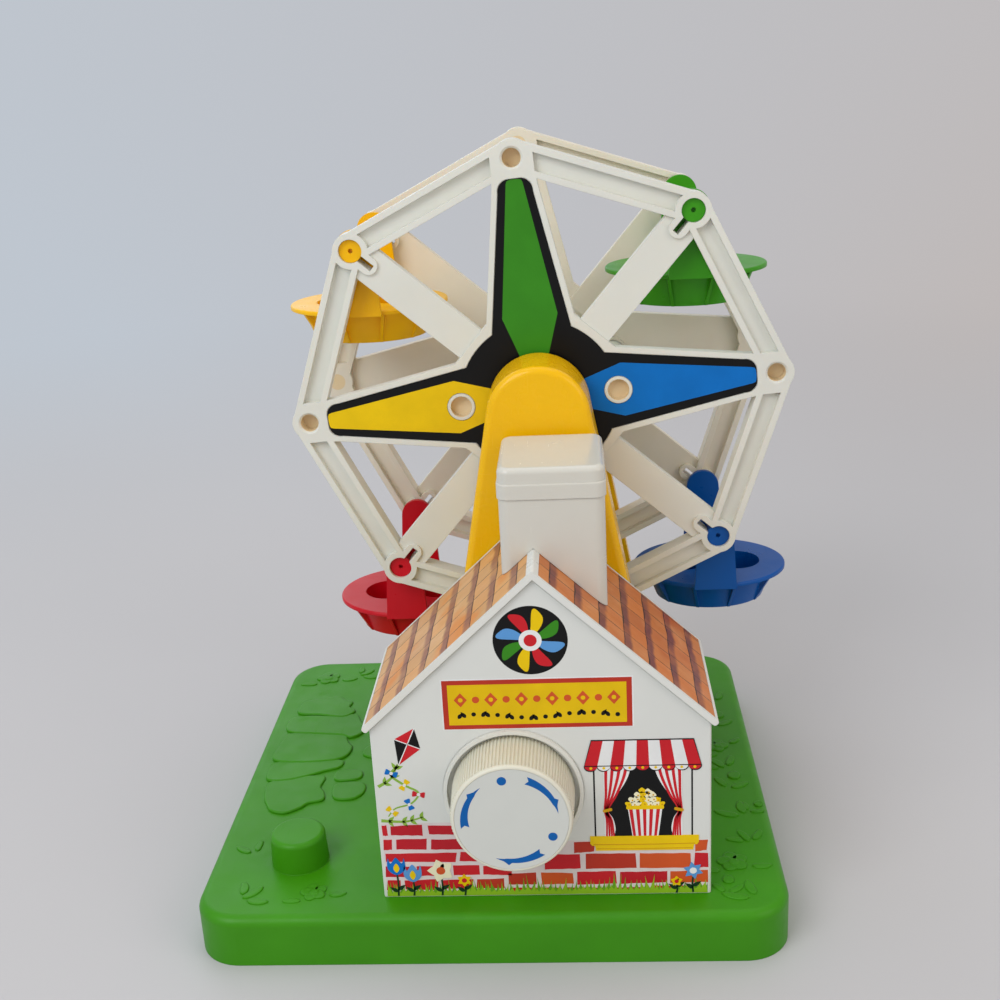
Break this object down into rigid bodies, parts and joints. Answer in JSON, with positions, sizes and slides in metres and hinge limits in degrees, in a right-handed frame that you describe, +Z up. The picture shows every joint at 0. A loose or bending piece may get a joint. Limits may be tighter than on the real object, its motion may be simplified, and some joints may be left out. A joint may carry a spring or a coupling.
{
  "type": "ferris wheel toy",
  "caption": "Toy Ferris wheel with swinging seats on two towers, driven by a clockwork music movement in a small house with a round winding knob, all on a square base.",
  "frame": {"origin": "centre of the base's underside, on the surface that the toy stands on", "axes": "+Z up, +Y to the back along the wheel's axle, +X to the right as seen from the knob's side"},
  "size_m": [0.2747, 0.2522, 0.3298],
  "materials": {
    "green_base": "glossy green moulded plastic",
    "white_plastic": "glossy white moulded plastic",
    "cream_wheel": "satin cream-white moulded plastic",
    "yellow_tower": "glossy warm yellow moulded plastic",
    "printed_sheet": "printed paper sheet with a clear film",
    "shingle_sheet": "printed paper sheet, wood shingle pattern",
    "star_sheet": "printed sheet, black ground with coloured blades",
    "seat_yellow": "yellow moulded plastic",
    "seat_green": "green moulded plastic",
    "seat_blue": "blue moulded plastic",
    "seat_red": "red moulded plastic",
    "acetal": "natural acetal",
    "belt_rubber": "black rubber",
    "steel_screws": "zinc-plated steel",
    "steel_shaft": "bright drawn steel",
    "spring_steel": "blued spring steel",
    "brass": "stamped brass"
  },
  "bodies": {
    "stand": {"base_shell": "green_base", "base_screws": "steel_screws", "house_shell": "white_plastic", "house_front_label": "printed_sheet", "roof_shell": "white_plastic", "roof_label_left": "shingle_sheet", "roof_label_right": "shingle_sheet", "chimney_stack": "white_plastic", "chimney_cap": "white_plastic", "front_tower_housing": "yellow_tower", "front_tower_back_plate": "yellow_tower", "rear_tower_housing": "yellow_tower", "rear_tower_front_plate": "yellow_tower", "tower_plate_screws": "steel_screws", "axle_bushes": "acetal", "drive_belt": "belt_rubber", "one_way_clutch_spring": "spring_steel", "movement_front_plate": "brass", "movement_back_plate": "brass", "movement_pillars": "brass", "movement_screws": "steel_screws", "comb": "spring_steel", "comb_bracket": "brass", "comb_screws": "steel_screws"},
    "wheel": {"wheel_front_frame": "cream_wheel", "wheel_rear_frame": "cream_wheel", "wheel_front_label": "star_sheet", "wheel_rear_label": "star_sheet", "wheel_hub_drum": "cream_wheel", "wheel_tie_tubes": "cream_wheel", "wheel_screws": "steel_screws", "wheel_axle": "steel_shaft", "upper_pulley": "acetal"},
    "yellow_seat": {"seat_yellow": "seat_yellow"},
    "red_seat": {"seat_red": "seat_red"},
    "blue_seat": {"seat_blue": "seat_blue"},
    "green_seat": {"seat_green": "seat_green"},
    "winding_knob": {"winding_knob": "white_plastic", "knob_face_label": "printed_sheet", "winding_shaft": "steel_shaft"},
    "barrel": {"spring_barrel": "brass", "barrel_cover_hub": "acetal", "mainspring": "spring_steel", "lower_pulley": "acetal"},
    "cylinder": {"pinned_cylinder": "brass"},
    "idler": {"governor_idler": "brass"},
    "fly": {"air_brake_fly": "acetal"}
  },
  "joints": [
    {"name": "wheel_spin", "type": "hinge", "parent": "stand", "child": "wheel", "pos_m": [0.0268, 0.043, 0.2144], "axis": [0, 1, 0], "continuous": true},
    {"name": "yellow_seat_swing", "type": "hinge", "parent": "wheel", "child": "yellow_seat", "pos_m": [-0.05479, 0.043, 0.2847], "axis": [0, 1, 0], "continuous": true},
    {"name": "red_seat_swing", "type": "hinge", "parent": "wheel", "child": "red_seat", "pos_m": [-0.0435, 0.043, 0.13281], "axis": [0, 1, 0], "continuous": true},
    {"name": "blue_seat_swing", "type": "hinge", "parent": "wheel", "child": "blue_seat", "pos_m": [0.10839, 0.043, 0.1441], "axis": [0, 1, 0], "continuous": true},
    {"name": "green_seat_swing", "type": "hinge", "parent": "wheel", "child": "green_seat", "pos_m": [0.0971, 0.043, 0.29599], "axis": [0, 1, 0], "continuous": true},
    {"name": "knob_wind", "type": "hinge", "parent": "stand", "child": "winding_knob", "pos_m": [0.0124, -0.06, 0.0743], "axis": [0, 1, 0], "continuous": true},
    {"name": "barrel_turn", "type": "hinge", "parent": "stand", "child": "barrel", "pos_m": [0.0124, -0.06, 0.0743], "axis": [0, 1, 0], "continuous": true},
    {"name": "cylinder_turn", "type": "hinge", "parent": "stand", "child": "cylinder", "pos_m": [0.0388, -0.06, 0.0743], "axis": [0, 1, 0], "continuous": true},
    {"name": "idler_turn", "type": "hinge", "parent": "stand", "child": "idler", "pos_m": [0.0448, -0.06, 0.08469], "axis": [0, 1, 0], "continuous": true},
    {"name": "fly_turn", "type": "hinge", "parent": "stand", "child": "fly", "pos_m": [0.05232, -0.06, 0.08743], "axis": [0, 1, 0], "continuous": true}
  ],
  "couplings": [
    {"joint": "barrel_turn", "follows": "wheel_spin", "ratio": 1.4694},
    {"joint": "cylinder_turn", "follows": "wheel_spin", "ratio": -3.9184},
    {"joint": "idler_turn", "follows": "wheel_spin", "ratio": 11.755},
    {"joint": "fly_turn", "follows": "wheel_spin", "ratio": -35.266},
    {"joint": "yellow_seat_swing", "follows": "wheel_spin", "ratio": -1},
    {"joint": "red_seat_swing", "follows": "wheel_spin", "ratio": -1},
    {"joint": "blue_seat_swing", "follows": "wheel_spin", "ratio": -1},
    {"joint": "green_seat_swing", "follows": "wheel_spin", "ratio": -1}
  ]
}
